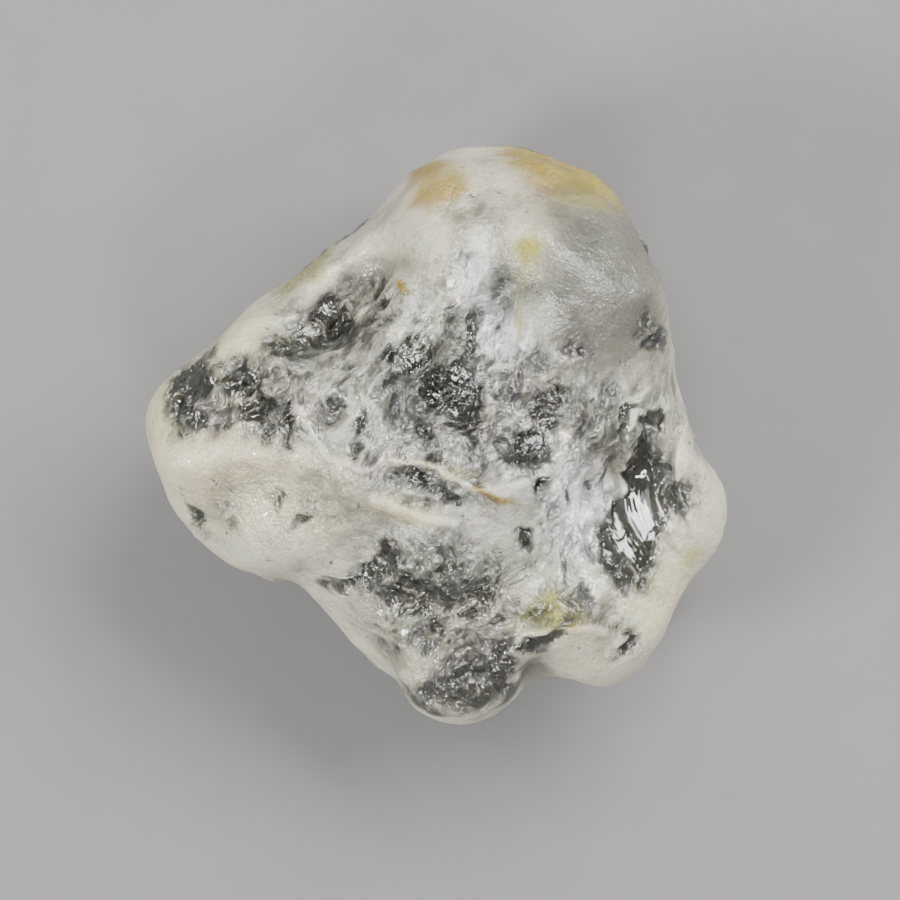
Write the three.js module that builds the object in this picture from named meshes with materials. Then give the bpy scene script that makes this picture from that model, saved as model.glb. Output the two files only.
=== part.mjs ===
// A stream-worn phenakite crystal: one loose, colourless stone about 22 mm across, lying on its broad side.
// Its faces are worn round and frosted. Shallow shell-shaped breaks are cut into them, and a few low ridges,
// where the crystal is harder, stand between the breaks. It is one solid, in millimetres, with +Z up.
//
// The stone is the inside of a field: stone(p) is below 0 inside, 0 on the surface and above 0 outside.
// A geodesic ball is blown out to that surface and its triangles are then evened out.

import * as THREE from 'three';
import { mergeVertices } from 'three/addons/utils/BufferGeometryUtils.js';
import { ImprovedNoise } from 'three/addons/math/ImprovedNoise.js';

// ---- Driving dimensions (mm) ----
const CROWN_HEIGHT = 13.4; // table to where the crown would close, if its faces didn't cut it
const GIRTH_HEIGHT = 4.9; // the stone is widest about here
const UNDERSIDE_DEPTH = 5.8; // girth to where the underside would close, if the rest face didn't cut it
const TOP_BULGE = 2.5; // superellipse power above the girth: 2 is round, more is squarer
const UNDERSIDE_BULGE = 2.3;
const BALL_DETAIL = 21; // each edge of the icosahedron is cut in BALL_DETAIL + 1
const EVENING_ROUNDS = 120; // times that the triangles are evened out, in steps, settling on the surface now and then
const EVENING_STEP = 0.6;
const ROUNDS_A_SETTLE = 5;
const TOP_CROWDING = 0.9; // how much more the triangles crowd on the top, where the fine forms are
const REST_CLEARANCE = 0.02; // vertices this near the table are set down on it
const TOP_BAND = [0.5, 2.5]; // how far above the girth the top's ridges and ledges start, and are whole
const CROWDING_BAND = [-1, 3]; // the same for the crowding of the triangles

// Seen from above, the outline runs anticlockwise from the blunt left end.
const OUTLINE = [
  [-11.0, 0.0], [-10.3, -1.9], [-9.4, -3.0], [-8.3, -4.0], [-7.5, -4.5], [-6.2, -4.9], [-5.1, -5.15],
  [-4.4, -5.8], [-3.7, -6.6], [-3.2, -7.3], [-2.6, -7.95], [-1.8, -8.6], [-1.2, -9.1], [-1.0, -9.75],
  [-0.35, -10.4], [0.35, -10.8], [1.0, -10.9], [1.65, -10.7], [2.2, -10.2], [3.1, -9.5], [3.6, -8.9],
  [4.2, -8.75], [4.75, -8.6], [5.5, -8.75], [6.2, -9.1], [6.9, -8.95], [7.7, -8.5], [8.5, -7.5],
  [9.4, -6.4], [10.2, -5.5], [10.6, -4.6], [10.95, -3.6], [11.0, -2.9], [10.85, -2.0], [10.4, -1.25],
  [9.95, -0.75], [9.75, 0.0], [9.7, 1.0], [9.45, 2.0], [9.1, 3.3], [8.55, 4.5], [8.1, 5.5], [7.7, 6.4],
  [7.55, 7.1], [7.2, 8.1], [6.5, 9.0], [5.8, 9.95], [4.7, 10.5], [3.5, 10.8], [2.35, 10.95], [1.15, 10.65],
  [0.0, 10.1], [-1.1, 9.7], [-2.0, 9.2], [-2.8, 8.65], [-3.5, 7.8], [-4.5, 6.95], [-5.4, 6.0],
  [-6.55, 5.0], [-7.3, 4.15], [-8.9, 2.85], [-10.3, 1.9], [-10.8, 1.0],
];

// Broad worn faces: the way the face looks (bearing anticlockwise from +X, tilt from straight up, in degrees),
// how far it lies from the stone's middle, and the radius that its edges are worn to.
const UPPER_FACES = [
  { name: 'crest slab', bearing: 80, tilt: 7, reach: 7.0, edge: 1.3 },
  { name: 'upper left slope', bearing: 122, tilt: 30, reach: 6.7, edge: 1.0 },
  { name: 'left end slope', bearing: 165, tilt: 25, reach: 6.9, edge: 1.1 },
  { name: 'lower left slope', bearing: 240, tilt: 35, reach: 6.3, edge: 1.6 },
  { name: 'toe slope', bearing: 272, tilt: 30, reach: 6.9, edge: 1.2 },
  { name: 'lower right slope', bearing: 318, tilt: 33, reach: 7.0, edge: 1.0 },
  { name: 'right wall', bearing: 6, tilt: 68, reach: 9.0, edge: 0.5 },
  { name: 'right shoulder', bearing: 14, tilt: 22, reach: 7.0, edge: 1.0 },
  { name: 'dome back', bearing: 68, tilt: 52, reach: 9.2, edge: 1.6 },
  { name: 'dome side', bearing: 28, tilt: 56, reach: 8.0, edge: 1.2 },
];

// Walls that cut the lobes as well as the body: the way each looks, and how far outside the outline it passes at
// the girth. Those tilted over 90 face the table.
const WALLS = [
  { name: 'upper left wall', bearing: 129, tilt: 66, gap: 0.7, edge: 0.8 },
  { name: 'left end wall', bearing: 176, tilt: 62, gap: 0.5, edge: 0.8 },
  { name: 'lower left wall', bearing: 240, tilt: 66, gap: 0.3, edge: 0.8 },
  { name: 'lower right wall', bearing: 316, tilt: 64, gap: 0.2, edge: 0.8 },
  { name: 'right end wall', bearing: 350, tilt: 60, gap: 0.5, edge: 0.8 },
  { name: 'toe wall', bearing: 280, tilt: 62, gap: 0.3, edge: 0.8 },
  { name: 'right lobe face', bearing: 338, tilt: 40, gap: 0.5, edge: 0.5 },
  { name: 'lower right lobe face', bearing: 300, tilt: 48, gap: 0.9, edge: 0.5 },
  { name: 'far wall', bearing: 80, tilt: 64, gap: 0.3, edge: 1.2 },
  { name: 'left under face', bearing: 190, tilt: 122, gap: 0.5, edge: 0.8 },
  { name: 'near under face', bearing: 238, tilt: 120, gap: 0.3, edge: 0.9 },
  { name: 'toe under face', bearing: 284, tilt: 126, gap: 0.3, edge: 0.9 },
  { name: 'right under face', bearing: 336, tilt: 118, gap: 0.2, edge: 0.8 },
  { name: 'far under face', bearing: 72, tilt: 122, gap: 0.2, edge: 0.9 },
  { name: 'far left under face', bearing: 132, tilt: 114, gap: 0.5, edge: 0.8 },
  { name: 'right under wall', bearing: 18, tilt: 110, gap: 0.5, edge: 0.8 },
];

// Blunt lobes that stand out of the body: centre, half-lengths along a frame turned by two angles, and the blend.
const LOBES = [
  { name: 'right lobe', at: [7.9, -3.6, 4.3], half: [3.1, 3.5, 3.6], turn: 20, lean: 12, blend: 0.8 },
  { name: 'lower right lobe', at: [6.1, -6.4, 4.3], half: [2.4, 2.6, 3.6], turn: -32, lean: -10, blend: 0.8 },
  { name: 'toe', at: [0.9, -7.8, 4.3], half: [2.2, 3.0, 3.7], turn: 6, lean: 8, blend: 0.9 },
  { name: 'dome', at: [3.2, 6.0, 5.4], half: [4.3, 4.6, 5.9], turn: 30, lean: 8, blend: 2.0 },
];
const LOBE_POWER = 2.8; // superellipsoid power, as for the body's bulge

// Shell-shaped breaks in the top, found from straight above: place, the break's length and width, the bearing of
// its length, its depth, and how sharp its rim is.
const BREAKS = [
  { name: 'upper left window', at: [-4.0, 4.0], size: [6.0, 3.4], turn: 38, depth: 0.6, rim: 0.4 },
  { name: 'left window', at: [-7.9, 1.4], size: [4.6, 3.0], turn: 12, depth: 0.55, rim: 0.4 },
  { name: 'middle hollow', at: [1.2, 1.2], size: [6.4, 5.6], turn: -62, depth: 0.75, rim: 0.6 },
  { name: 'middle hollow step', at: [4.0, 0.9], size: [3.4, 4.2], turn: 20, depth: 0.5, rim: 0.4 },
  { name: 'dome scar', at: [1.3, 4.8], size: [3.4, 3.8], turn: 15, depth: 0.25, rim: 0.6 },
  { name: 'rippled break', at: [6.6, -1.8], size: [6.6, 4.8], turn: 62, depth: 1.0, rim: 0.4 },
  { name: 'upper rippled break', at: [8.0, 1.0], size: [3.0, 2.2], turn: 70, depth: 0.45, rim: 0.35 },
  { name: 'lower window', at: [0.2, -5.2], size: [5.8, 4.4], turn: -38, depth: 0.65, rim: 0.4 },
  { name: 'toe window', at: [1.1, -8.6], size: [3.6, 2.4], turn: 20, depth: 0.45, rim: 0.35 },
  { name: 'small pocket', at: [0.9, -1.7], size: [3.0, 1.6], turn: -8, depth: 0.35, rim: 0.3 },
  { name: 'left pocket', at: [-4.0, 0.9], size: [3.2, 2.2], turn: 80, depth: 0.4, rim: 0.35 },
  { name: 'flank chip', at: [7.8, 3.9], size: [2.4, 3.4], turn: 15, depth: 0.35, rim: 0.5 },
];

// Breaks in the flanks and the underside, found by looking out from the middle: bearing and height angle.
const FLANK_BREAKS = [
  { name: 'left flank', look: [208, -8], size: [6.4, 3.2], depth: 0.6, rim: 0.5 },
  { name: 'near flank', look: [246, -14], size: [5.2, 3.6], depth: 0.5, rim: 0.5 },
  { name: 'far flank', look: [112, 10], size: [7.0, 3.8], depth: 0.5, rim: 0.5 },
  { name: 'far left flank', look: [148, -16], size: [5.6, 3.0], depth: 0.5, rim: 0.5 },
  { name: 'notch', look: [300, 4], size: [2.4, 7.0], depth: 0.35, rim: 0.6 },
  { name: 'right flank', look: [24, 12], size: [4.8, 3.4], depth: 0.4, rim: 0.4 },
  { name: 'right under', look: [350, -32], size: [4.6, 3.2], depth: 0.5, rim: 0.5 },
  { name: 'far under', look: [62, -34], size: [5.4, 3.4], depth: 0.6, rim: 0.5 },
  { name: 'left under', look: [176, -38], size: [5.0, 3.2], depth: 0.5, rim: 0.5 },
];

// Wear shifts every face, break and ridge by up to this much, over about this distance.
const WANDER = 0.9;
const WANDER_LENGTH = 3.6;

// Low ridges on the top: points along the crest, its height and its half-width.
const RIDGES = [
  { name: 'long vein', rise: 0.36, half: 0.7, line: [
    [-10, -0.9], [-6.6, -0.75], [-4.2, -1.1], [-1.8, -1.0], [0.4, -1.5], [1.8, -2.05], [3.2, -1.7], [4.4, -0.6]] },
  { name: 'lower vein', rise: 0.3, half: 0.65, line: [[-3.2, -1.9], [-1.6, -2.4], [-0.6, -2.9], [1.2, -3.0]] },
  { name: 'left buttress', rise: 0.3, half: 0.7, line: [[-5.5, 4.4], [-5.6, 2.6], [-5.2, 0.8], [-4.6, -0.6]] },
  { name: 'middle spur', rise: 0.4, half: 0.7, line: [[-1.4, 5.0], [-1.2, 3.6], [-2.2, 1.8], [-3.1, 0.2]] },
  { name: 'dome spur', rise: 0.2, half: 0.8, line: [[3.0, 4.4], [3.6, 3.2], [5.4, 2.0], [6.6, 0.6]] },
  { name: 'right crest', rise: 0.4, half: 0.65, line: [[8.0, 5.0], [8.5, 3.4], [8.8, 1.6], [9.3, 0.0], [9.6, -1.2]] },
  { name: 'notch sill', rise: 0.4, half: 0.6, line: [[2.3, -8.2], [3.2, -7.2], [4.6, -6.7], [6.4, -6.6]] },
  { name: 'lobe seam', rise: 0.25, half: 0.6, line: [[6.4, -5.2], [7.2, -6.2], [7.3, -7.4]] },
];

// The rippled break's ledges: arcs about one point, within a patch of the break.
const RIPPLES = { about: [10.6, -1.4], across: [6.4, -2.2], reach: [2.6, 3.6], spacing: 1.15, height: 0.13 };

// Waviness left by wear: [wavelength, height].
const WAVES = [
  [5.2, 0.42],
  [2.5, 0.2],
  [1.25, 0.085],
];

// ---- Small helpers ----
const radians = THREE.MathUtils.degToRad;
const smoothMax = (a, b, r) => Math.max(a, b) + (Math.max(r - Math.abs(a - b), 0) ** 2) / (4 * r);
const smoothMin = (a, b, r) => -smoothMax(-a, -b, r);

// A unit vector from a bearing and a height angle above the horizontal, in degrees.
function heading(bearing, above) {
  const b = radians(bearing);
  const e = radians(above);
  return new THREE.Vector3(Math.cos(b) * Math.cos(e), Math.sin(b) * Math.cos(e), Math.sin(e));
}

// 0 below a band of heights above the girth, 1 above it.
const aboveGirth = (p, [low, high]) => THREE.MathUtils.smoothstep(p.z, GIRTH_HEIGHT + low, GIRTH_HEIGHT + high);

// ---- The field ----
const MIDDLE = new THREE.Vector3(0, 0, GIRTH_HEIGHT);
const noise = new ImprovedNoise();

// The outline's radius for each bearing, read from a smooth closed curve.
const RADIUS_STEPS = 720;
const outlineRadius = (() => {
  const points = OUTLINE.map(([x, y]) => new THREE.Vector3(x, y, 0));
  const curve = new THREE.CatmullRomCurve3(points, true, 'centripetal');
  const traced = curve.getPoints(RADIUS_STEPS * 4).map((p) => [Math.atan2(p.y, p.x), Math.hypot(p.x, p.y)]);
  traced.sort((a, b) => a[0] - b[0]);
  const table = [];
  let k = 0;
  for (let i = 0; i <= RADIUS_STEPS; i++) {
    const bearing = -Math.PI + (i * 2 * Math.PI) / RADIUS_STEPS;
    while (k < traced.length - 1 && traced[k][0] < bearing) k++;
    table.push(traced[k][1]);
  }
  return (x, y) => {
    const place = ((Math.atan2(y, x) + Math.PI) / (2 * Math.PI)) * RADIUS_STEPS;
    const low = Math.min(Math.floor(place), RADIUS_STEPS - 1);
    return THREE.MathUtils.lerp(table[low], table[low + 1], place - low);
  };
})();

// The plain rounded body that has the outline at its girth.
function body(p) {
  const across = Math.hypot(p.x, p.y) / outlineRadius(p.x, p.y);
  const up = p.z - GIRTH_HEIGHT;
  const power = up > 0 ? TOP_BULGE : UNDERSIDE_BULGE;
  const depth = up > 0 ? CROWN_HEIGHT - GIRTH_HEIGHT : UNDERSIDE_DEPTH;
  const share = (across ** power + (Math.abs(up) / depth) ** power) ** (1 / power);
  return (share - 1) * depth;
}

const upperFaces = UPPER_FACES.map((f) => ({ out: heading(f.bearing, 90 - f.tilt), reach: f.reach, edge: f.edge }));
const walls = WALLS.map((w) => {
  const level = heading(w.bearing, 0);
  const outlineReach = Math.max(...OUTLINE.map(([x, y]) => x * level.x + y * level.y));
  const reach = (outlineReach + w.gap) * Math.sin(radians(w.tilt));
  return { out: heading(w.bearing, 90 - w.tilt), reach, edge: w.edge };
});

// The field after a set of flat faces has been cut into it.
function cut(d, p, faces) {
  const q = new THREE.Vector3().subVectors(p, MIDDLE);
  return faces.reduce((sum, f) => smoothMax(sum, q.dot(f.out) - f.reach, f.edge), d);
}

// A superellipsoid's field, in its own frame given by a centre and three axes with half-lengths.
function ellipsoid(p, { centre, axes, half, power }) {
  const d = new THREE.Vector3().subVectors(p, centre);
  const share = axes.reduce((sum, axis, i) => sum + Math.abs(d.dot(axis) / half[i]) ** power, 0);
  return (share ** (1 / power) - 1) * Math.min(...half);
}

const lobes = LOBES.map((l) => {
  const angles = new THREE.Euler(radians(l.lean), radians(l.lean / 2), radians(l.turn), 'ZYX');
  const turned = new THREE.Matrix4().makeRotationFromEuler(angles);
  const axes = [new THREE.Vector3(), new THREE.Vector3(), new THREE.Vector3()];
  turned.extractBasis(...axes);
  return { centre: new THREE.Vector3(...l.at), axes, half: l.half, power: LOBE_POWER, blend: l.blend };
});

// Each use of the noise reads its own stretch of it, this far along.
const NOISE_STRETCH = { x: 3.1, y: 17.3, z: 31.9, waves: 7.9 };
const noiseAt = (p, length, stretch) => noise.noise(p.x / length + stretch, p.y / length, p.z / length + stretch);

// Wear shifts every face and break a little from place to place, so their edges wander.
function shifted(p) {
  const drift = (axis) => p[axis] + WANDER * noiseAt(p, WANDER_LENGTH, NOISE_STRETCH[axis]);
  return new THREE.Vector3(drift('x'), drift('y'), drift('z'));
}

// The body with its faces and lobes, before it was broken. q is p shifted by wear.
function roundStone(p, q = shifted(p)) {
  let d = cut(body(p), q, upperFaces);
  for (const l of lobes) d = smoothMin(d, ellipsoid(p, l), l.blend);
  return cut(d, q, walls);
}

// The way that a field grows fastest at p.
const GRADIENT_STEP = 0.01;
function gradient(field, p) {
  const g = new THREE.Vector3();
  for (const axis of ['x', 'y', 'z']) {
    const ahead = p.clone();
    const behind = p.clone();
    ahead[axis] += GRADIENT_STEP;
    behind[axis] -= GRADIENT_STEP;
    g[axis] = (field(ahead) - field(behind)) / (2 * GRADIENT_STEP);
  }
  return g;
}

// Where a ray that comes in from outside first meets the surface: found by steps, then by halving the last one.
const RAY_LENGTH = 20;
const RAY_STEP = 0.25;
const RAY_HALVINGS = 20;
function surfaceAlong(field, from, out) {
  const at = (t) => new THREE.Vector3().copy(from).addScaledVector(out, t);
  let inside = 0;
  let outside = RAY_LENGTH;
  for (let t = RAY_LENGTH; t > 0; t -= RAY_STEP) {
    if (field(at(t)) < 0) {
      inside = t;
      break;
    }
    outside = t;
  }
  for (let i = 0; i < RAY_HALVINGS; i++) {
    const half = (inside + outside) / 2;
    if (field(at(half)) < 0) inside = half;
    else outside = half;
  }
  return at((inside + outside) / 2);
}

// A break is a shallow dish: an ellipsoid lying on the surface and sunk by its depth.
const DISH_SPREAD = 0.866; // an ellipsoid cut at half its height is this share of its full width
function dish(spot, size, turn, depth, rim) {
  const out = gradient(roundStone, spot).normalize();
  const across = new THREE.Vector3().crossVectors(out, heading(turn, 0)).normalize();
  const along = new THREE.Vector3().crossVectors(across, out).normalize();
  const centre = spot.clone().addScaledVector(out, depth);
  const half = [size[0] / 2 / DISH_SPREAD, size[1] / 2 / DISH_SPREAD, depth * 2];
  return { centre, axes: [along, across, out], half, power: 2, rim };
}

const UP = new THREE.Vector3(0, 0, 1);
const dishes = [
  ...BREAKS.map((b) => {
    const spot = surfaceAlong(roundStone, new THREE.Vector3(b.at[0], b.at[1], 0.5), UP);
    return dish(spot, b.size, b.turn, b.depth, b.rim);
  }),
  ...FLANK_BREAKS.map((b) => {
    const spot = surfaceAlong(roundStone, MIDDLE, heading(...b.look));
    return dish(spot, b.size, b.look[0] + 90, b.depth, b.rim);
  }),
];

// A smooth dip or rise of 1 on a line and 0 far from it.
function nearLine(x, y, line, half) {
  let best = Infinity;
  for (let i = 0; i + 1 < line.length; i++) {
    const [ax, ay] = line[i];
    const dx = line[i + 1][0] - ax;
    const dy = line[i + 1][1] - ay;
    const t = THREE.MathUtils.clamp(((x - ax) * dx + (y - ay) * dy) / (dx * dx + dy * dy), 0, 1);
    best = Math.min(best, Math.hypot(x - ax - t * dx, y - ay - t * dy));
  }
  return Math.exp(-((best / half) ** 2));
}

function waves(p) {
  return WAVES.reduce((sum, [length, height]) => sum + height * noiseAt(p, length, NOISE_STRETCH.waves), 0);
}

// Ledges of the rippled break: steep on the side that faces the point they curve about.
function ripples(x, y) {
  const off = Math.hypot((x - RIPPLES.across[0]) / RIPPLES.reach[0], (y - RIPPLES.across[1]) / RIPPLES.reach[1]);
  const phase = (2 * Math.PI * Math.hypot(x - RIPPLES.about[0], y - RIPPLES.about[1])) / RIPPLES.spacing;
  return RIPPLES.height * Math.exp(-(off ** 4)) * (Math.sin(phase) + 0.3 * Math.sin(2 * phase));
}

// The whole stone.
function stone(p) {
  const q = shifted(p);
  let d = roundStone(p, q);
  for (const s of dishes) d = smoothMax(d, -ellipsoid(q, s), s.rim);
  const top = aboveGirth(p, TOP_BAND);
  if (top > 0) {
    for (const r of RIDGES) d -= top * r.rise * nearLine(q.x, q.y, r.line, r.half);
    d -= top * ripples(q.x, q.y);
  }
  return d + waves(p);
}

// ---- The mesh ----
function geodesicBall() {
  const ball = new THREE.IcosahedronGeometry(1, BALL_DETAIL);
  ball.deleteAttribute('normal');
  ball.deleteAttribute('uv');
  return mergeVertices(ball, 1e-5);
}

function neighboursOf(index, count) {
  const sets = Array.from({ length: count }, () => new Set());
  for (let i = 0; i < index.count; i += 3) {
    const [a, b, c] = [index.getX(i), index.getX(i + 1), index.getX(i + 2)];
    sets[a].add(b).add(c);
    sets[b].add(a).add(c);
    sets[c].add(a).add(b);
  }
  return sets.map((s) => [...s]);
}

// The table cuts the stone flat where it rests.
const restingStone = (p) => Math.max(stone(p), -p.z);

// Moves p onto the surface by Newton's method, with no wild step where the field is nearly level.
const SETTLE_STEPS = 3;
const LEAST_SLOPE_SQUARED = 0.2;
function toSurface(p) {
  for (let i = 0; i < SETTLE_STEPS; i++) {
    const g = gradient(restingStone, p);
    p.addScaledVector(g, -restingStone(p) / Math.max(g.lengthSq(), LEAST_SLOPE_SQUARED));
  }
}

function stoneGeometry() {
  const geometry = geodesicBall();
  const position = geometry.getAttribute('position');
  const around = neighboursOf(geometry.index, position.count);
  let points = [];
  for (let i = 0; i < position.count; i++) {
    const out = new THREE.Vector3().fromBufferAttribute(position, i).normalize();
    points.push(surfaceAlong(restingStone, MIDDLE, out));
  }
  const store = () => {
    points.forEach((p, i) => position.setXYZ(i, p.x, p.y, p.z < REST_CLEARANCE ? 0 : p.z));
    geometry.computeVertexNormals();
  };
  const pull = (p) => {
    const top = aboveGirth(p, CROWDING_BAND);
    const off = Math.hypot(p.x - RIPPLES.across[0], p.y - RIPPLES.across[1]) / RIPPLES.reach[1];
    return 1 + TOP_CROWDING * top * (1 + Math.exp(-(off ** 2)));
  };
  for (let round = 1; round <= EVENING_ROUNDS; round++) {
    store();
    const normals = geometry.getAttribute('normal');
    points = points.map((p, i) => {
      const mean = new THREE.Vector3();
      let weights = 0;
      for (const k of around[i]) {
        mean.addScaledVector(points[k], pull(points[k]));
        weights += pull(points[k]);
      }
      mean.divideScalar(weights).sub(p);
      const out = new THREE.Vector3().fromBufferAttribute(normals, i);
      return p.clone().add(mean.addScaledVector(out, -mean.dot(out)).multiplyScalar(EVENING_STEP));
    });
    if (round % ROUNDS_A_SETTLE === 0) points.forEach(toSurface);
  }
  store();
  // The stone's box is centred on the origin.
  geometry.computeBoundingBox();
  const centre = geometry.boundingBox.getCenter(new THREE.Vector3());
  return geometry.translate(-centre.x, -centre.y, 0);
}

const clearCrystal = new THREE.MeshStandardMaterial({ color: 0xd6d4cc, roughness: 0.45, metalness: 0 });

const crystal = new THREE.Mesh(stoneGeometry(), clearCrystal);
crystal.name = 'phenakite_crystal';

const part = new THREE.Group();
part.add(crystal);

export default part;
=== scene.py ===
"""A stream-worn phenakite crystal, lying on a pale table and lit as a small stone is lit on a bench.

The crystal is one piece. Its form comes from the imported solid. Here its skin gets the fine relief:
shell-shaped scars inside the clear windows, the ledges of the rippled break, veins, pits and worn waviness.
Its material is clear crystal where the skin is broken away, and ground-glass white where water has worn it.

The scene is in metres, as the frame is. Places and sizes on the crystal's skin are in millimetres.
"""

import math

import bmesh
import bpy
import numpy as np
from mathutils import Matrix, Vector, noise


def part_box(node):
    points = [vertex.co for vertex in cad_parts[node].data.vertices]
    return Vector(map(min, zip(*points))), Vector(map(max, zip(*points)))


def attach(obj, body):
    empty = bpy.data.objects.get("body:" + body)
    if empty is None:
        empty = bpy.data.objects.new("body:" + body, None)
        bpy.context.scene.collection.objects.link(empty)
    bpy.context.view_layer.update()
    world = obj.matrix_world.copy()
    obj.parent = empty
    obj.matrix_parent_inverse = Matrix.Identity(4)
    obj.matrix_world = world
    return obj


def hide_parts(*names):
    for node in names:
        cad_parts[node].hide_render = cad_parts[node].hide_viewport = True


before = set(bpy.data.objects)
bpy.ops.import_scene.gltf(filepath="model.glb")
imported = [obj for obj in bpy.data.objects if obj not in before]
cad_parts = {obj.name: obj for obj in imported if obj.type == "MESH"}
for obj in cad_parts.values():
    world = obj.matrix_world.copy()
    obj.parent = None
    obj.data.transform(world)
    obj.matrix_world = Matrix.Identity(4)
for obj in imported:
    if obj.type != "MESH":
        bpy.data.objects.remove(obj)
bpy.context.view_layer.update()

MM = 0.001
CRYSTAL = "phenakite_crystal"

# ---- The camera ----
FRAME_WIDTH = 33.5 * MM  # what the picture is wide at the crystal's girth
GIRTH = 5.0 * MM
LENS = 150.0
SENSOR = 36.0
CENTRE = (0.465 * MM, -0.503 * MM)


def make_camera():
    """A long lens straight above the crystal, with the crystal's +Y up the picture."""
    data = bpy.data.cameras.new("bench_camera")
    data.lens = LENS
    data.sensor_width = SENSOR
    reach = FRAME_WIDTH * LENS / SENSOR
    data.clip_start = reach * 0.05
    data.clip_end = reach * 20
    camera = bpy.data.objects.new("bench_camera", data)
    camera.location = (*CENTRE, GIRTH + reach)
    bpy.context.scene.collection.objects.link(camera)
    bpy.context.scene.camera = camera


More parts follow.
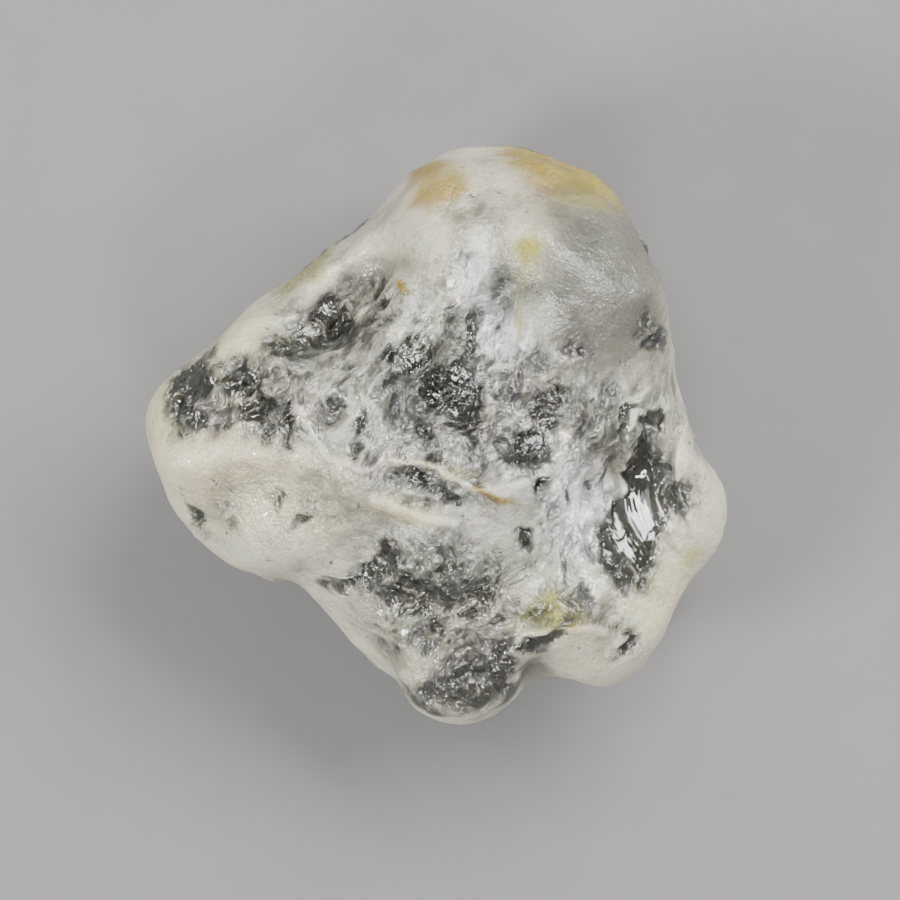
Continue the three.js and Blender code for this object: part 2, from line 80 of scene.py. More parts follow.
# ---- Places on the crystal, seen from above (mm) ----
# Windows are where the frosted skin is broken or worn through: the middle, the half-lengths, the bearing of
# the length, how clear the crystal is there, how deep its scars are, and the bearing that they run along.
WINDOWS = [
    # Broad ground where the skin is thin.
    ("middle ground", (0.6, 1.0), (4.4, 3.6), 20, 0.38, 0.10, 60),
    ("left ground", (-5.6, 1.3), (4.0, 1.6), 5, 0.42, 0.08, 30),
    ("upper left ground", (-3.6, 4.0), (2.8, 1.4), 22, 0.42, 0.08, 30),
    ("right ground", (5.2, -0.2), (2.6, 2.6), 10, 0.40, 0.10, 55),
    ("ripple foam", (5.3, -2.8), (1.4, 1.9), 0, 0.55, 0.20, 66),
    ("lower ground", (0.2, -5.8), (3.0, 2.6), -20, 0.50, 0.10, 60),
    ("toe ground", (1.4, -8.6), (1.9, 1.5), 10, 0.60, 0.10, 40),
    ("lower right ground", (4.6, -5.6), (2.8, 1.6), 5, 0.34, 0.08, 60),
    ("right flank", (8.4, 2.4), (0.8, 2.4), 8, 0.22, 0.05, 80),
    ("upper right plain", (5.2, 5.8), (2.5, 3.2), -20, 0.12, 0.02, 0),
    ("crown streaks", (1.4, 6.3), (1.3, 1.8), -10, 0.22, 0.05, 80),
    ("left slope", (-3.6, -2.6), (2.0, 1.2), -10, 0.16, 0.04, 20),
    # Windows.
    ("left end", (-9.0, 1.7), (0.85, 1.4), -30, 1.0, 0.10, 60),
    ("left end foot", (-8.9, 0.7), (0.6, 0.6), 0, 0.65, 0.10, 60),
    ("left strip", (-7.0, 1.9), (1.6, 0.45), 0, 0.75, 0.08, 5),
    ("left eye", (-6.6, 0.95), (0.8, 0.6), 0, 0.90, 0.06, 80),
    ("left columns", (-5.25, 0.5), (0.24, 0.85), 0, 0.80, 0.08, 90),
    ("upper left", (-4.1, 4.3), (1.5, 0.65), 38, 0.92, 0.10, 40),
    ("upper left foot", (-5.6, 3.4), (0.75, 0.55), 30, 0.80, 0.10, 40),
    ("upper left middle", (-4.6, 3.2), (1.0, 0.7), 10, 0.60, 0.10, 40),
    ("upper left arm", (-2.3, 4.6), (0.8, 0.5), 50, 0.72, 0.10, 20),
    ("streak", (-2.8, 0.5), (0.4, 0.8), -15, 0.80, 0.12, 75),
    ("streak foot", (-2.8, -0.6), (0.45, 0.5), 0, 0.80, 0.12, 75),
    ("middle dark", (0.5, 1.4), (2.0, 0.8), -56, 1.02, 0.12, 75),
    ("middle head", (-0.9, 2.9), (0.9, 0.6), 25, 0.90, 0.12, 60),
    ("middle foot", (0.9, 0.5), (0.6, 0.8), 0, 0.92, 0.12, 75),
    ("middle spur", (1.3, 3.8), (0.3, 0.8), 0, 0.75, 0.12, 60),
    ("bubble", (-0.65, 0.2), (0.55, 0.6), 0, 0.70, 0.06, 0),
    ("middle right", (4.1, 0.9), (0.65, 1.2), -25, 0.88, 0.12, 50),
    ("middle right head", (2.7, 2.3), (0.8, 0.5), 20, 0.65, 0.12, 50),
    ("middle right foot", (3.4, -0.4), (0.7, 0.6), 0, 0.85, 0.12, 40),
    ("craters", (4.7, 2.9), (0.8, 0.5), -20, 0.42, 0.14, 0),
    ("flank chip", (7.8, 3.9), (0.4, 0.8), 15, 0.50, 0.12, 80),
    ("pocket", (-1.0, -1.5), (0.8, 0.4), -10, 0.85, 0.12, 0),
    ("pocket right", (0.4, -2.3), (0.5, 0.3), -10, 0.75, 0.12, 0),
    ("lower", (-2.0, -4.7), (1.2, 0.6), 55, 0.84, 0.12, 70),
    ("lower middle", (-0.9, -5.8), (1.2, 1.0), -40, 0.80, 0.14, 40),
    ("lower foot", (-0.2, -6.8), (1.2, 0.45), -40, 0.82, 0.14, 40),
    ("lower right", (1.4, -6.0), (1.0, 0.8), 0, 0.80, 0.12, 40),
    ("lower left tail", (-3.2, -5.2), (0.7, 0.3), 15, 0.85, 0.08, 0),
    ("toe", (0.9, -9.3), (1.6, 0.75), 5, 1.02, 0.12, 20),
    ("toe side", (2.4, -8.4), (1.2, 0.6), 60, 0.95, 0.10, 60),
    ("notch arcs", (3.7, -7.4), (1.3, 0.35), 27, 0.85, 0.08, 27),
    ("lobe slots", (6.8, -7.4), (0.35, 0.7), -35, 0.66, 0.10, 60),
    ("scales", (7.5, -5.3), (0.5, 0.4), 30, 0.75, 0.10, 120),
    ("rippled", (7.3, -3.0), (2.6, 1.05), 79, 1.45, 0.0, 80),
    ("ripple head", (7.7, -1.2), (0.9, 0.6), 10, 1.25, 0.0, 80),
    ("ripple side", (8.75, -2.3), (0.6, 0.5), 60, 0.85, 0.10, 80),
    ("ripple crown", (7.9, 0.65), (0.45, 0.25), 75, 0.95, 0.0, 60),
    ("ripple arc", (7.15, 0.85), (0.7, 0.18), 56, 1.15, 0.0, 60),
    ("pit left of ripples", (3.9, -1.8), (0.35, 0.5), 0, 0.75, 0.12, 0),
    ("pit cluster", (2.9, -3.7), (0.45, 0.35), 0, 0.80, 0.12, 0),
    ("left slot", (-8.8, -3.1), (0.18, 0.55), 30, 0.90, 0.12, 120),
    ("pit on the left slope", (-5.7, -2.2), (0.3, 0.45), 20, 0.40, 0.08, 0),
    ("pit by the left slope", (-4.9, -3.2), (0.45, 0.25), 30, 0.40, 0.08, 0),
    ("pit near the left end", (-7.6, -2.7), (0.4, 0.28), -20, 0.36, 0.08, 0),
]

# The flanks have windows too, where the water has not worn them as long.
FLANK_CLEAR = 0.62
FLANK_DEPTH = 0.10
WINDOW_SINK = 0.14  # how far the clearest windows lie below the skin (mm)

# Flakes are where the skin is thicker and whiter than round about, or thinner and greyer (below 0): middle,
# half-lengths, bearing, how much thicker, and how much smoother. Some whiter flakes are painted highlights,
# and some greyer ones are painted shade, as marked below.
FLAKES_AND_PAINTED_LIGHT = [
    ("middle plain", (0.8, -3.4), (2.2, 0.7), -5, -0.04, 0.18),
    ("white flake", (2.4, 3.4), (0.6, 0.8), 10, 0.22, 0.0),
    ("white streaks", (0.9, 5.3), (0.6, 1.1), -10, 0.12, -0.20),
    ("top spur", (-0.6, 5.0), (0.9, 1.6), 20, -0.10, -0.08),
    ("ripple foam", (5.4, -2.6), (1.2, 1.9), 0, 0.42, 0.0),
    # Painted highlight: a white spot at the edge of the rippled break, where a facet would catch a lamp.
    ("ripple edge", (6.55, -1.6), (0.2, 0.7), 0, 0.12, 0.6),
    # Painted highlight: whiter skin on the upper left arm.
    ("arm highlight", (-2.3, 5.5), (0.8, 0.4), 20, 0.24, 0.0),
    ("left bridge", (-4.0, 0.9), (0.6, 0.6), 0, 0.16, 0.0),
    # Painted highlight: a white band at the foot of the rippled break, where its waves would mirror a lamp.
    ("ripple foot", (7.0, -4.8), (0.55, 0.2), -50, 0.20, 0.7),
    ("left middle", (-4.3, 0.6), (0.8, 1.0), 0, 0.08, 0.0),
    # Painted shade: the upper right plain and a ridge across it are made greyer, as if they lay in shade.
    ("upper right plain", (6.1, 5.4), (2.7, 3.6), -20, -0.03, 0.10),
    ("plain ridge", (5.5, 6.3), (1.4, 0.45), -42, -0.05, 0.0),
    ("toe", (0.5, -9.3), (1.8, 0.8), 5, -0.36, 0.0),
    ("toe side", (2.3, -8.5), (1.1, 0.7), 60, -0.12, 0.0),
    ("middle dark", (0.8, 1.2), (1.5, 0.8), -64, -0.16, 0.0),
    ("left end", (-8.9, 1.6), (1.0, 1.2), -20, -0.16, 0.0),
    ("upper left", (-3.4, 4.7), (1.3, 0.8), 40, 0.08, 0.0),
    ("left columns", (-5.4, 0.4), (0.5, 1.0), 0, -0.05, -0.1),
]

PLUMP = 0.06  # how far the skin is put out again after it is rounded over (mm)

# The rippled break's waves are arcs about one point.
RIPPLE_CENTRE = (12.4, -1.0)
RIPPLE_PATCH = ((7.6, -1.5), (2.0, 3.2))
RIPPLE_SPACING = 0.98
RIPPLE_HEIGHT = 0.30
RIPPLE_FLANK = 0.78  # how much of each wave its long flank takes

# The scars' sizes (mm), with each size's height, its pull on how frosted a scar is, and its seed.
SCAR_SIZES = [(0.95, 1.7, 0.60, 1.0), (0.45, 0.85, 0.30, 7.0), (0.22, 0.42, 0.1, 17.0)]
SCAR_STRETCH = 1.9  # how many times longer than wide they are

# Folds in the clear crystal run along one bearing, and are this many times longer than wide.
FOLD_BEARING = 60
FOLD_STRETCH = 1.7

# Layers of noise, each with its strength, its wavelength (mm) and its shift.
WORN_WAVES = [(0.10, 1.9, 7.0), (0.05, 0.8, 9.0), (0.02, 0.35, 19.0)]  # these strengths are heights in mm
SKIN_CLOUDS = [(0.7, 2.6, 51.0), (0.5, 1.1, 53.0), (0.25, 0.5, 57.0)]
FOIL_FOLDS = [(0.25, 1.1, 61.0), (0.15, 0.55, 63.0), (0.0625, 0.27, 67.0)]
FLANK_GROUND = [(1.0, 3.2, 41.0), (0.3, 0.9, 43.0)]
BLUSH_CLOUDS = [(0.05, 2.2, 91.0), (0.025, 0.9, 93.0)]

# Fine ridges: the crest's height, its half-width and its points.
VEINS = [
    ("long vein", 0.16, 0.14,
        [(-1.6, -0.9), (-0.4, -1.05), (0.5, -1.5), (1.3, -1.95), (2.2, -2.0), (3.1, -1.7)]),
    ("upper vein", 0.10, 0.12, [(-5.0, 0.9), (-3.8, -0.9), (-2.4, -1.2), (-1.6, -0.9)]),
    ("lower vein", 0.12, 0.16, [(-2.2, -2.2), (-1.3, -2.6), (-0.5, -3.0), (0.6, -3.1)]),
    ("spur", 0.06, 0.09, [(0.2, 5.2), (-0.9, 3.4), (-2.2, 1.9), (-3.0, 0.6)]),
    ("flake edge", 0.12, 0.12, [(3.4, 3.2), (2.9, 2.6), (2.0, 2.4)]),
    ("glass crown", 0.06, 0.07,
        [(7.7, 1.75), (7.1, 1.35), (6.65, 0.6), (6.5, -0.2), (6.55, -1.1), (6.75, -2.0)]),
    ("crest edge", 0.04, 0.14, [(8.1, 4.6), (8.6, 3.0), (9.1, 1.2), (9.3, -0.4), (9.6, -1.3)]),
    ("sill", 0.10, 0.14, [(1.9, -8.9), (2.4, -8.0), (3.2, -7.2), (4.6, -6.9), (6.0, -7.1)]),
    ("pocket rim", 0.10, 0.12, [(-1.2, -1.9), (0.0, -2.2), (1.0, -2.0)]),
]

# Stains, and two patches of painted shade: colour, middle, half-lengths, bearing and strength.
OCHRE = (0.30, 0.19, 0.0)
AMBER = (0.36, 0.265, 0.0)
LEMON = (0.36, 0.33, 0.03)
OLIVE = (0.36, 0.32, 0.10)
CREAM = (0.70, 0.635, 0.40)
TAN = (0.36, 0.30, 0.15)
WHITE = (0.97, 0.97, 0.96)
GREY = (0.515, 0.51, 0.445)
# The next two colours are painted shade, not stains.
PAINTED_DIM_SHADE = (0.15, 0.142, 0.112)
PAINTED_CREST_SHADE = (0.22, 0.215, 0.20)
STAINS_AND_PAINTED_SHADE = [
    ("middle", GREY, (0.6, -0.6), (6.5, 5.6), 0, 0.7),
    ("crown fade", TAN, (5.6, 8.6), (2.6, 1.9), -40, 0.7),
    # Painted shade: the upper right plain is darkened, as if the softboxes left it in shade.
    ("upper right plain", PAINTED_DIM_SHADE, (6.1, 5.6), (2.7, 3.6), -20, 1.0),
    ("white flake", WHITE, (2.4, 3.6), (0.8, 1.2), 10, 0.9),
    ("white streaks", WHITE, (1.4, 5.6), (0.8, 1.3), -10, 0.7),
    ("ripple foam", WHITE, (5.2, -2.8), (1.3, 1.7), 0, 1.0),
    ("top left patch", AMBER, (0.1, 9.1), (1.1, 0.9), 30, 0.6),
    ("top left core", OCHRE, (-0.4, 9.75), (0.7, 0.5), 20, 0.9),
    ("top left foot", OCHRE, (0.1, 8.75), (1.1, 0.5), 20, 0.7),
    ("crown", AMBER, (4.6, 9.9), (2.4, 1.1), -24, 0.9),
    ("crown corner", OCHRE, (3.2, 10.2), (0.8, 0.5), -30, 0.6),
    ("lemon spot", LEMON, (3.3, 6.7), (0.4, 0.55), -30, 1.0),
    ("lemon tail", LEMON, (3.2, 5.6), (0.3, 0.4), 0, 0.5),
    ("lemon streak", LEMON, (2.95, 4.2), (0.14, 0.7), 5, 0.55),
    # Painted shade: the flank beyond the right crest is darkened, as if it lay in shade.
    ("crest shade", PAINTED_CREST_SHADE, (9.6, 0.5), (0.4, 1.4), 8, 0.85),
    ("upper left edge", OLIVE, (-4.9, 6.2), (1.4, 0.6), 45, 0.9),
    ("small spot", AMBER, (-1.2, 5.2), (0.22, 0.25), 0, 1.0),
    ("vein rust", OCHRE, (1.9, -2.1), (0.75, 0.18), -8, 0.9),
    ("vein cream", CREAM, (0.0, -1.2), (1.6, 0.25), -18, 0.85),
    ("lower vein cream", CREAM, (-1.0, -2.7), (1.3, 0.4), -20, 0.85),
    ("green patch", LEMON, (4.3, -6.4), (1.3, 0.65), 14, 0.95),
    ("lobe spot", LEMON, (9.2, -4.4), (0.45, 0.4), 0, 0.6),
    ("lobe wash", CREAM, (8.2, -5.8), (1.3, 1.0), 40, 0.8),
    ("left slope wash", CREAM, (-6.6, -1.6), (3.8, 1.7), -14, 0.75),
    ("left rim wash", CREAM, (-10.4, 0.6), (0.9, 2.8), 0, 0.9),
    ("upper left wash", CREAM, (-7.2, 3.6), (1.8, 0.6), 38, 0.7),
]
SKIN_WHITE = (0.615, 0.58, 0.445)
BLUSH = (0.6, -1.0, 0.3)  # which way the skin's colour wanders: to pink, or to green below 0


# ---- Small helpers on arrays of points (n by 3, mm) ----
def smoothstep(low, high, value):
    t = np.clip((value - low) / (high - low), 0, 1)
    return t * t * (3 - 2 * t)


def noise_at(points, length, shift):
    """Perlin noise from about -1 to 1, with that wavelength."""
    return np.array([noise.noise(Vector(q)) for q in points / length + shift])


def layered(points, layers):
    return sum(strength * noise_at(points, length, shift) for strength, length, shift in layers)


def drift(points, length, reach, shifts):
    """A shift for each point, of up to about the reach each way, that changes over that length."""
    return np.stack([noise_at(points, length, s) for s in shifts], axis=1) * reach


def turned(points, middle, bearing):
    """The points' places along and across a line through the middle."""
    a = math.radians(bearing)
    x = points[:, 0] - middle[0]
    y = points[:, 1] - middle[1]
    return x * math.cos(a) + y * math.sin(a), -x * math.sin(a) + y * math.cos(a)


def patch(points, middle, half, bearing, softness=None):
    """1 inside an oval seen from above, and 0 outside it. A small oval has a softer edge."""
    softness = softness or min(0.9, 0.35 + 0.15 / min(half))
    along, across = turned(points, middle, bearing)
    reach = np.hypot(along / half[0], across / half[1])
    return 1 - smoothstep(1 - softness, 1 + softness, reach)


def near_line(points, line, half):
    """1 on a line seen from above, falling to 0 beside it."""
    best = np.full(len(points), np.inf)
    for start, end in zip(line, line[1:]):
        a = np.array(start)
        d = np.array(end) - a
        q = points[:, :2] - a
        t = np.clip(q @ d / (d @ d), 0, 1)
        best = np.minimum(best, np.linalg.norm(q - t[:, None] * d, axis=1))
    return np.exp(-((best / half) ** 2))


HASH_WAY = np.array([12.9898, 78.233, 37.719])
HASH_GAIN = 43758.5453


def scatter(cells, seed):
    """A number from 0 to 1 for each cell, always the same for one cell."""
    value = np.sin(cells @ HASH_WAY + seed) * HASH_GAIN
    return value - np.floor(value)


def scars(points, length, seed):
    """Overlapping shell scars: hollows that meet in sharp ridges, and each scar's own number from 0 to 1."""
    nearest_cells = [noise.voronoi(Vector(q))[1] for q in points / length]
    best = np.full(len(points), np.inf)
    number = np.zeros(len(points))
    for cell in zip(*nearest_cells):
        cell = np.array(cell)
        off = points / length - cell
        tilt = np.stack([scatter(cell, seed + i) - 0.5 for i in range(3)], axis=1)
        bowl = 1.6 * (off * off).sum(1) + 1.3 * (tilt * off).sum(1) - 0.9 * scatter(cell, seed + 5)
        number = np.where(bowl < best, scatter(cell, seed + 9), number)
        best = np.minimum(best, bowl)
    return best, number


# ---- The crystal's mesh ----
WELD = 0.002 * MM
ROUND_ALL_AXES = {"factor": 0.5, "use_axis_x": True, "use_axis_y": True, "use_axis_z": True}


def cut_once(bm, chosen, rounding):
    """Cuts the edges of the chosen faces in two, and rounds the surface over that many times."""
    spots = np.array([face.calc_center_median() for face in bm.faces]) / MM
    lean = np.array([face.normal.z for face in bm.faces])
    edges = {edge for face, cut in zip(bm.faces, chosen(spots, lean)) if cut for edge in face.edges}
    bmesh.ops.subdivide_edges(bm, edges=list(edges), cuts=1, use_grid_fill=True)
    bmesh.ops.triangulate(bm, faces=bm.faces)
    for _ in range(rounding):
        bmesh.ops.smooth_vert(bm, verts=bm.verts, **ROUND_ALL_AXES)


# Which faces are cut, from their middles and their lean: 1 looks straight up, and -1 straight down.
def everywhere(spots, lean):
    return np.full(len(spots), True)


def sides_and_top(spots, lean):
    return lean > -0.05


def top_windows(spots, lean):
    scarred = np.zeros(len(spots))
    for _, middle, half, bearing, _, depth, _ in WINDOWS:
        scarred = np.maximum(scarred, depth * patch(spots, middle, half, bearing))
    rippled = patch(spots, *RIPPLE_PATCH, 0)
    return ((scarred > 0.08) | (rippled > 0.4)) & (lean > 0.1)


def fine_copy(node):
    """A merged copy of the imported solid, cut finer on the sides and top, and finest in the windows."""
    bm = bmesh.new()
    bm.from_mesh(node.data)
    bmesh.ops.remove_doubles(bm, verts=bm.verts, dist=WELD)
    cut_once(bm, everywhere, 4)
    cut_once(bm, sides_and_top, 3)
    cut_once(bm, top_windows, 2)
    mesh = bpy.data.meshes.new("crystal_skin")
    bm.to_mesh(mesh)
    bm.free()
    for polygon in mesh.polygons:
        polygon.use_smooth = True
    return mesh


def read(mesh, name):
    """The mesh's vertices' places or normals."""
    values = np.zeros(len(mesh.vertices) * 3, np.float32)
    mesh.vertices.foreach_get(name, values)
    return values.reshape(-1, 3).astype(float)


class Skin:
    """What each point of the crystal's surface is: its place and normal, and how its skin is broken.

    top and low are 1 on the top and in the windows of the flanks, and shares holds each top window's share.
    clear is how clear the crystal is, deepest how deep its scars are, whiter how much thicker the frost is or
    how much highlight or shade is painted there, and ridges how high the veins stand.
    """

    def __init__(self, points, normals):
        self.points = points
        self.normals = normals
        self.top = smoothstep(0.0, 0.3, normals[:, 2]) * smoothstep(2.5, 4.0, points[:, 2])
        spots = points + drift(points, 1.4, 0.5, (3.0, 13.0, 23.0))
        spots += drift(points, 0.45, 0.25, (5.0, 15.0, 25.0))
        self.shares = {}
        self.clear = np.zeros(len(points))
        self.deepest = np.zeros(len(points))
        for name, middle, half, bearing, clear, depth, _ in WINDOWS:
            share = self.top * patch(spots, middle, half, bearing)
            self.shares[name] = share
            self.clear = np.maximum(self.clear, share * clear)
            self.deepest = np.maximum(self.deepest, share * depth)
        self.whiter = np.zeros(len(points))
        for _, middle, half, bearing, thicker, smoother in FLAKES_AND_PAINTED_LIGHT:
            share = self.top * patch(spots, middle, half, bearing)
            self.whiter += thicker * share
            self.clear -= smoother * share
        self.low = smoothstep(0.05, 0.45, layered(points, FLANK_GROUND)) * (1 - self.top)
        wavy = points + drift(points, 0.8, 0.12, (2.0, 6.0, 8.0))
        self.ridges = np.zeros(len(points))
        for _, rise, half, line in VEINS:
            self.ridges += self.top * rise * near_line(wavy, line, half)
        self.clear = np.maximum(self.clear, FLANK_CLEAR * self.low)
        self.deepest = np.maximum(self.deepest, FLANK_DEPTH * self.low)


def rings(points):
    """How many waves of the rippled break lie between each point and their centre."""
    wavy = points + drift(points, 1.6, 0.15, (2.0, 6.0, 8.0))
    far = np.hypot(wavy[:, 0] - RIPPLE_CENTRE[0], wavy[:, 1] - RIPPLE_CENTRE[1])
    return far / RIPPLE_SPACING + 0.12 * noise_at(points, 2.5, 12.0)


def waves(turns):
    """The waves' height, from -0.5 to 0.5: away from the centre, each rises slowly and then falls quickly."""
    part = turns % 1
    return np.minimum(part / RIPPLE_FLANK, (1 - part) / (1 - RIPPLE_FLANK)) - 0.5


def shells(skin):
    """The scars inside the windows: their height in mm, and how frosted each one is, from -0.5 to 0.5."""
    points = skin.points
    carved = np.zeros(len(points))
    facet = np.zeros(len(points))
    total = np.full(len(points), 1e-9)
    windows = [(skin.shares[name], bearing) for name, *_, bearing in WINDOWS]
    for share, bearing in [*windows, (skin.low, 0)]:
        inside = share > 0.02
        along, across = turned(points[inside], (0, 0), bearing)
        drawn = np.stack([along / SCAR_STRETCH, across, points[inside][:, 2]], axis=1)
        weight = share[inside] ** 4
        total[inside] += weight
        for size, height, pull, seed in SCAR_SIZES:
            bowl, number = scars(drawn, size, seed)
            carved[inside] += weight * height * bowl
            facet[inside] += weight * pull * number
    broken = smoothstep(0.0, 0.4, np.max([skin.low, *skin.shares.values()], axis=0))
    return skin.deepest * carved / total, (facet / total - 0.5) * broken


def relief(skin, carved):
    """How far the skin stands out or in along its normal, in mm."""
    points = skin.points
    glassy = smoothstep(1.0, 1.25, skin.clear)
    height = (layered(points, WORN_WAVES) + PLUMP) * (1 - 0.8 * glassy)
    height += carved - WINDOW_SINK * smoothstep(0.3, 1.0, skin.clear)
    height += skin.top * patch(points, *RIPPLE_PATCH, 0, 0.3) * RIPPLE_HEIGHT * waves(rings(points))
    height += skin.ridges
    # The rest face stays flat.
    return height * smoothstep(0.1, 0.9, points[:, 2])


def stain_and_shade_field(skin):
    """The skin's colour at each point, with its stains and its painted shade. Both fade out down the flanks.
    """
    points = skin.points
    spots = points + drift(points, 0.9, 0.35, (31.0, 33.0, 35.0))
    colour = np.tile(np.array(SKIN_WHITE), (len(points), 1))
    upward = smoothstep(-0.6, -0.2, skin.normals[:, 2]) * smoothstep(1.5, 5.5, points[:, 2])
    for _, stain_or_shade, middle, half, bearing, strength in STAINS_AND_PAINTED_SHADE:
        share = upward * strength * patch(spots, middle, half, bearing, 0.5)
        colour += (np.array(stain_or_shade) - colour) * share[:, None]
    return colour * (1 + layered(points, BLUSH_CLOUDS)[:, None] * np.array(BLUSH))


EDGE_ROUNDS = 40  # how often the surface is evened out to tell its ridges from its hollows


def edge_field(points, edges):
    """The step to each point from where it lies once the surface is evened out: outwards on ridges, in mm."""
    soft = points.copy()
    count = np.bincount(edges.ravel(), minlength=len(points))[:, None]
    for _ in range(EDGE_ROUNDS):
        total = np.zeros_like(soft)
        np.add.at(total, edges[:, 0], soft[edges[:, 1]])
        np.add.at(total, edges[:, 1], soft[edges[:, 0]])
        soft = 0.5 * soft + 0.5 * total / count
    return points - soft


def thickness_and_painted_light_field(skin, edge):
    """How whole and white the frosted skin is: 1 on worn rims, which are also painted lighter as a painted
    glow of light through them, and less where it is thin and in the hollows.
    """
    cloud = layered(skin.points, SKIN_CLOUDS)
    return np.clip(0.95 + 0.12 * cloud + 1.5 * edge, 0.4, 1) + skin.whiter + 2.0 * skin.ridges


def drawn_out(points):
    """The points' places, bent about and drawn out along one bearing. Folds that follow them run that way."""
    bent = points + drift(points, 1.25, 0.7, (71.0, 73.0, 79.0))
    bent += drift(points, 0.6, 0.3, (81.0, 83.0, 89.0))
    along, across = turned(bent, (0, 0), FOLD_BEARING)
    return np.stack([along / FOLD_STRETCH, across, bent[:, 2]], axis=1)


def make_crystal(node):
    """The crystal's skin, with what its material reads kept on its points."""
    mesh = fine_copy(node)
    skin = Skin(read(mesh, "co") / MM, read(mesh, "normal"))
    tint = stain_and_shade_field(skin)
    carved, facet = shells(skin)
    points = skin.points + skin.normals * relief(skin, carved)[:, None]
    lowest, highest = (np.array(corner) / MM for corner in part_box(CRYSTAL))
    points = np.clip(points, lowest, highest)
    mesh.vertices.foreach_set("co", (points * MM).astype(np.float32).ravel())
    mesh.update()
    ends = np.zeros(len(mesh.edges) * 2, np.int32)
    mesh.edges.foreach_get("vertices", ends)
    # Ridges and rims get whole, less clear skin: worn skin, and also a painted glow along the rims.
    edge = (edge_field(points, ends.reshape(-1, 2)) * read(mesh, "normal")).sum(1)
    fields = {
        "clear": skin.clear - 0.8 * np.clip(edge, -0.1, 0.3),
        "facet": facet,
        "foil": layered(points, FOIL_FOLDS),
        "rings": rings(skin.points),
        "thick_and_painted_light": thickness_and_painted_light_field(skin, edge),
    }
    for name, values in fields.items():
        mesh.attributes.new(name, "FLOAT", "POINT").data.foreach_set("value", values.astype(np.float32))
    folded = drawn_out(points).astype(np.float32)
    mesh.attributes.new("folded", "FLOAT_VECTOR", "POINT").data.foreach_set("vector", folded.ravel())
    colours = np.concatenate([tint, np.ones((len(tint), 1))], axis=1).astype(np.float32)
    mesh.attributes.new("tint", "FLOAT_COLOR", "POINT").data.foreach_set("color", colours.ravel())
    crystal = bpy.data.objects.new("crystal", mesh)
    bpy.context.scene.collection.objects.link(crystal)
    return crystal


# ---- Materials ----
class Wire:
    """A socket that can be used in an expression. Each operator adds one Math node."""

    def __init__(self, shop, socket):
        self.shop = shop
        self.socket = socket

    def math(self, operation, *others):
        values = dict(enumerate((self, *others)))
        return self.shop.add("ShaderNodeMath", {"operation": operation}, values)

    def __add__(self, other):
        return self.math("ADD", other)

    def __mul__(self, other):
        return self.math("MULTIPLY", other)

    def __sub__(self, other):
        return self.math("SUBTRACT", other)

    def __rsub__(self, other):
        return self.shop.add("ShaderNodeMath", {"operation": "SUBTRACT"}, {0: other, 1: self})

    def __pow__(self, other):
        return self.math("POWER", other)

    __radd__ = __add__
    __rmul__ = __mul__

    def step(self, low, high):
        """0 below low, 1 above high, and smooth between."""
        settings = {"interpolation_type": "SMOOTHSTEP"}
        values = {"Value": self, "From Min": low, "From Max": high}
        return self.shop.add("ShaderNodeMapRange", settings, values)

    def also(self, output):
        """Another output of the same node."""
        return Wire(self.shop, self.socket.node.outputs[output])

    def at_least(self, other):
        return self.math("MAXIMUM", other)

    def at_most(self, other):
        return self.math("MINIMUM", other)


class Shop:
    """Makes one material's nodes."""

    def __init__(self, name):
        self.material = bpy.data.materials.new(name)
        self.material.use_nodes = True
        self.tree = self.material.node_tree
        self.tree.nodes.clear()
        self.output = self.tree.nodes.new("ShaderNodeOutputMaterial")

    def add(self, kind, settings, values, output=0):
        """A node of that kind. Its settings are set first, then its sockets' values or links."""
        node = self.tree.nodes.new(kind)
        for name, value in settings.items():
            setattr(node, name, value)
        for name, value in values.items():
            if isinstance(value, Wire):
                self.tree.links.new(value.socket, node.inputs[name])
            else:
                node.inputs[name].default_value = value
        return Wire(self, node.outputs[output])

    def place(self):
        """The piece's own coordinates, in mm."""
        spot = self.add("ShaderNodeTexCoord", {}, {}, "Object")
        return self.add("ShaderNodeVectorMath", {"operation": "SCALE"}, {0: spot, "Scale": 1 / MM})

    def attribute(self, name, output="Fac"):
        return self.add("ShaderNodeAttribute", {"attribute_name": name}, {}, output)

    def noise(self, place, length, detail, roughness):
        values = {"Vector": place, "Scale": 1 / length, "Detail": detail, "Roughness": roughness}
        return self.add("ShaderNodeTexNoise", {}, values)

    def vector(self, operation, *values, output="Vector"):
        return self.add("ShaderNodeVectorMath", {"operation": operation}, dict(enumerate(values)), output)

    def facets(self, place, length):
        """Facets that each have their own height and colour. A Math node reads the colour as a number."""
        colour = self.add("ShaderNodeTexVoronoi", {}, {"Vector": place, "Scale": 1 / length}, "Color")
        offset = self.vector("SUBTRACT", place, colour.also("Position"))
        lean = self.vector("SUBTRACT", colour, (0.5, 0.5, 0.5))
        return self.vector("DOT_PRODUCT", offset, lean, output="Value"), colour

    def mix_colour(self, share, first, second):
        return self.add("ShaderNodeMix", {"data_type": "RGBA"}, {0: share, 6: first, 7: second}, 2)

    def bump(self, height, distance):
        return self.add("ShaderNodeBump", {}, {"Height": height, "Distance": distance})


# The clear crystal and the frosted skin.
# Painted shade: the clear crystal darkens with depth far faster than the colourless mineral does, so its
# windows stay dark over the pale table.
ABSORPTION = 180.0  # for each metre: how fast the clear crystal darkens with depth
PASSED = (0.41, 0.43, 0.47, 1)  # the tint of the light that gets through
REFRACTION = 1.66
COAT_REFRACTION = 1.6
CLEAR_TINT = (0.98, 0.98, 0.99, 1)
FROST_TRANSMISSION = 0.35
FROST_SCATTER = 0.7
FROST_SCATTER_LENGTH = 0.7 * MM
FROST_SCATTER_SHARES = (1.0, 0.95, 0.85)  # how far red, green and blue go

# The fine patterns' wavelengths (mm).
GRAIN = 0.11
SPECK = 0.34
FOLD = 0.50
HAIR = 0.24
CHIP = 0.32

VEIL = 0.27  # even the clearest windows have this much tone
FROSTING = 2.7  # how late the skin turns from clear to white as its tone rises
DULL_SKIN = (0.35, 0.34, 0.31, 1)
SCORES = 7  # fine scores along each wave of the rippled break
SCORE_HEIGHT = 0.006  # (mm)


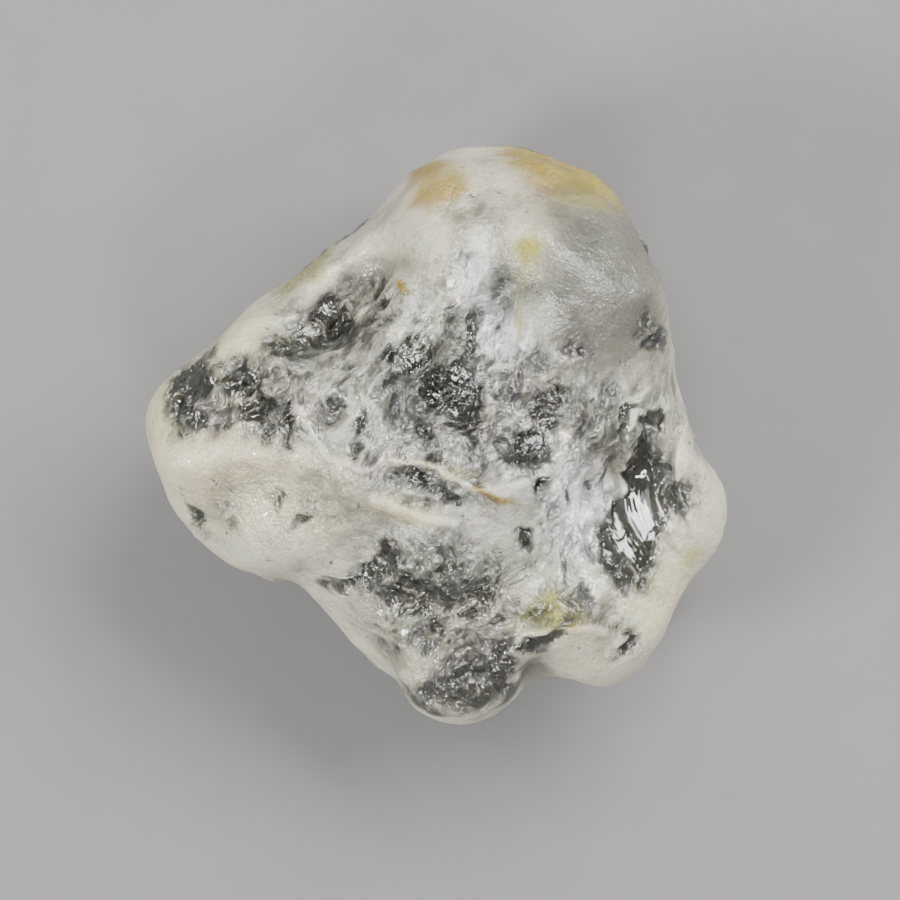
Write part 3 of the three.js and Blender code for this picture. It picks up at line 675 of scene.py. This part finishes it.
def crystal_material():
    """Clear crystal and frosted skin, mixed by how whole the skin is at each point."""
    shop = Shop("worn_clear_crystal")
    place = shop.place()
    clear_here = shop.attribute("clear")
    thick_and_painted_light = shop.attribute("thick_and_painted_light")
    tint = shop.attribute("tint", "Color")
    grain = shop.noise(place, GRAIN, 1.0, 0.8)
    speck = shop.noise(place, SPECK, 2.0, 0.7)

    # glassy is the rippled break, broken the other ground without whole skin, and window its clearest part.
    glassy = clear_here.step(1.0, 1.25)
    broken = clear_here.step(0.05, 0.45) * (1.0 - glassy)
    window = clear_here.step(0.45, 0.85)

    # Inside the windows, pale folds, hairs and chips stand over the clear crystal, along one bearing. They
    # are frost on its fractures, and also painted glints for the lamps that the fractures would mirror.
    foil = shop.attribute("foil")
    drawn = shop.attribute("folded", "Vector")
    folds = shop.noise(drawn, FOLD, 1.0, 0.6)
    hairs = shop.noise(drawn, HAIR, 1.0, 0.6)
    chip_height, chips = shop.facets(drawn, CHIP)
    creases = (1.0 - ((folds - 0.5) * 20.0).math("ABSOLUTE")).at_least(0.0)
    fine = (1.0 - ((hairs - 0.5) * 14.0).math("ABSOLUTE")).at_least(0.0)
    lines = creases * 0.5 + fine * 0.4
    calm = (foil + 0.1).step(0.0, 0.25)
    crinkle = shop.attribute("facet") * 0.85 + foil * 0.9 + (chips - 0.5) * 0.30
    crinkle = crinkle + lines * (window * 1.4 - 0.55 + calm * 0.2) + 0.08 - window * 0.28
    crinkle = crinkle * (broken * 0.9 + 0.1)

    # The skin is thin in its pits. Its tone is 1 where it is whole and white.
    pitted = (speck + foil * 0.3 + (grain - 0.5) * 0.3).step(0.32, 0.22)
    whole = thick_and_painted_light - pitted * 0.4 - (0.5 - grain) * 0.25
    tone = (whole - clear_here * 0.72 + crinkle).at_least(VEIL).at_most(1.0)
    skin = tone**FROSTING

    dulled = shop.mix_colour(0.22, tint, DULL_SKIN)
    worn = shop.mix_colour((grain * 0.6 + speck * 0.4).step(0.38, 0.62), dulled, tint)
    # One fine relief for both: grain on the skin, and folds and facets where it is broken.
    shards = chip_height * 1.2 + folds * 0.2 + lines * (window * 0.08 - 0.04)
    score = (shop.attribute("rings") * (2 * math.pi * SCORES)).math("SINE") * glassy * SCORE_HEIGHT
    worn_height = (grain * 0.03 + speck * 0.10) * (1.0 - broken * 0.7) * (1.0 - glassy)
    uneven = shop.bump(worn_height + shards * broken + score, MM)
    frost = shop.add(
        "ShaderNodeBsdfPrincipled",
        {},
        {
            "Base Color": worn,
            "Roughness": 0.26 + grain * 0.2 - broken * 0.1,
            "Transmission Weight": FROST_TRANSMISSION,
            "IOR": REFRACTION,
            "Subsurface Weight": FROST_SCATTER,
            "Subsurface Radius": FROST_SCATTER_SHARES,
            "Subsurface Scale": FROST_SCATTER_LENGTH,
            "Specular IOR Level": 0.25,
            "Coat Weight": (broken * 1.1 - 0.25).at_least(grain.step(0.64, 0.70)),
            "Coat Roughness": 0.10,
            "Coat IOR": COAT_REFRACTION,
            "Normal": uneven,
        },
    )
    clear = shop.add(
        "ShaderNodeBsdfPrincipled",
        {},
        {
            "Base Color": CLEAR_TINT,
            "Roughness": 0.36 - window * 0.26 - glassy * 0.03,
            "Transmission Weight": 1.0,
            "IOR": REFRACTION,
            "Coat Weight": glassy,
            "Coat Roughness": 0.04,
            "Coat IOR": COAT_REFRACTION,
            "Normal": uneven,
        },
    )
    surface = shop.add("ShaderNodeMixShader", {}, {0: skin, 1: clear, 2: frost})
    inside = shop.add("ShaderNodeVolumeAbsorption", {}, {"Color": PASSED, "Density": ABSORPTION})
    shop.tree.links.new(surface.socket, shop.output.inputs["Surface"])
    shop.tree.links.new(inside.socket, shop.output.inputs["Volume"])
    return shop.material


TABLE_DARKER = (0.125, 0.124, 0.122, 1)
TABLE_LIGHTER = (0.14, 0.139, 0.137, 1)
TABLE_MOTTLE = 3.0  # wavelength (mm)


def table_material():
    shop = Shop("pale_table")
    mottle = shop.noise(shop.place(), TABLE_MOTTLE, 3.0, 0.6)
    colour = shop.mix_colour(mottle, TABLE_DARKER, TABLE_LIGHTER)
    plain = shop.add("ShaderNodeBsdfPrincipled", {}, {"Base Color": colour, "Roughness": 0.8})
    shop.tree.links.new(plain.socket, shop.output.inputs["Surface"])
    return shop.material


# ---- The table and the light ----
TABLE_HALF = 1.5  # half of the table's side (m)
ROOM_COLOUR = (0.92, 0.95, 1.0, 1)
ROOM_STRENGTH = 0.03
WHITE_LIGHT = (1.0, 1.0, 1.0)
WARM_LIGHT = (1.0, 0.985, 0.96)
# Softboxes: bearing and angle above the table (degrees), distance, width and height (m), power (W), colour.
SOFTBOXES = [
    ("left_softbox", 205, 34, 0.32, 0.10, 0.07, 1.8, WARM_LIGHT),
    ("right_softbox", 48, 45, 0.30, 0.27, 0.12, 2.65, WHITE_LIGHT),
    ("low_right_softbox", 12, 22, 0.32, 0.06, 0.05, 0.3, WHITE_LIGHT),
    ("near_softbox", 285, 48, 0.34, 0.10, 0.06, 0.8, WHITE_LIGHT),
    ("far_softbox", 110, 52, 0.40, 0.45, 0.28, 1.2, WHITE_LIGHT),
]


def make_table():
    """A plain square under the crystal."""
    bm = bmesh.new()
    bmesh.ops.create_grid(bm, x_segments=1, y_segments=1, size=TABLE_HALF)
    mesh = bpy.data.meshes.new("table")
    bm.to_mesh(mesh)
    bm.free()
    mesh.materials.append(table_material())
    table = bpy.data.objects.new("table", mesh)
    bpy.context.scene.collection.objects.link(table)


def make_softbox(name, bearing, above, distance, width, height, power, colour):
    """An oblong lamp that looks at the crystal."""
    data = bpy.data.lights.new(name, "AREA")
    data.shape = "RECTANGLE"
    data.size = width
    data.size_y = height
    data.energy = power
    data.color = colour
    a, e = math.radians(bearing), math.radians(above)
    back = Vector((math.cos(a) * math.cos(e), math.sin(a) * math.cos(e), math.sin(e)))
    lamp = bpy.data.objects.new(name, data)
    lamp.location = Vector((0, 0, GIRTH)) + back * distance
    lamp.rotation_mode = "QUATERNION"
    lamp.rotation_quaternion = back.to_track_quat("Z", "Y")
    bpy.context.scene.collection.objects.link(lamp)


def light_room():
    """A faint even light from all round."""
    world = bpy.data.worlds.new("room")
    world.use_nodes = True
    background = world.node_tree.nodes["Background"]
    background.inputs["Color"].default_value = ROOM_COLOUR
    background.inputs["Strength"].default_value = ROOM_STRENGTH
    bpy.context.scene.world = world


make_camera()
crystal = make_crystal(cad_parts[CRYSTAL])
crystal.data.materials.append(crystal_material())
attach(crystal, "root")
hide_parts(CRYSTAL)
make_table()
for softbox in SOFTBOXES:
    make_softbox(*softbox)
light_room()
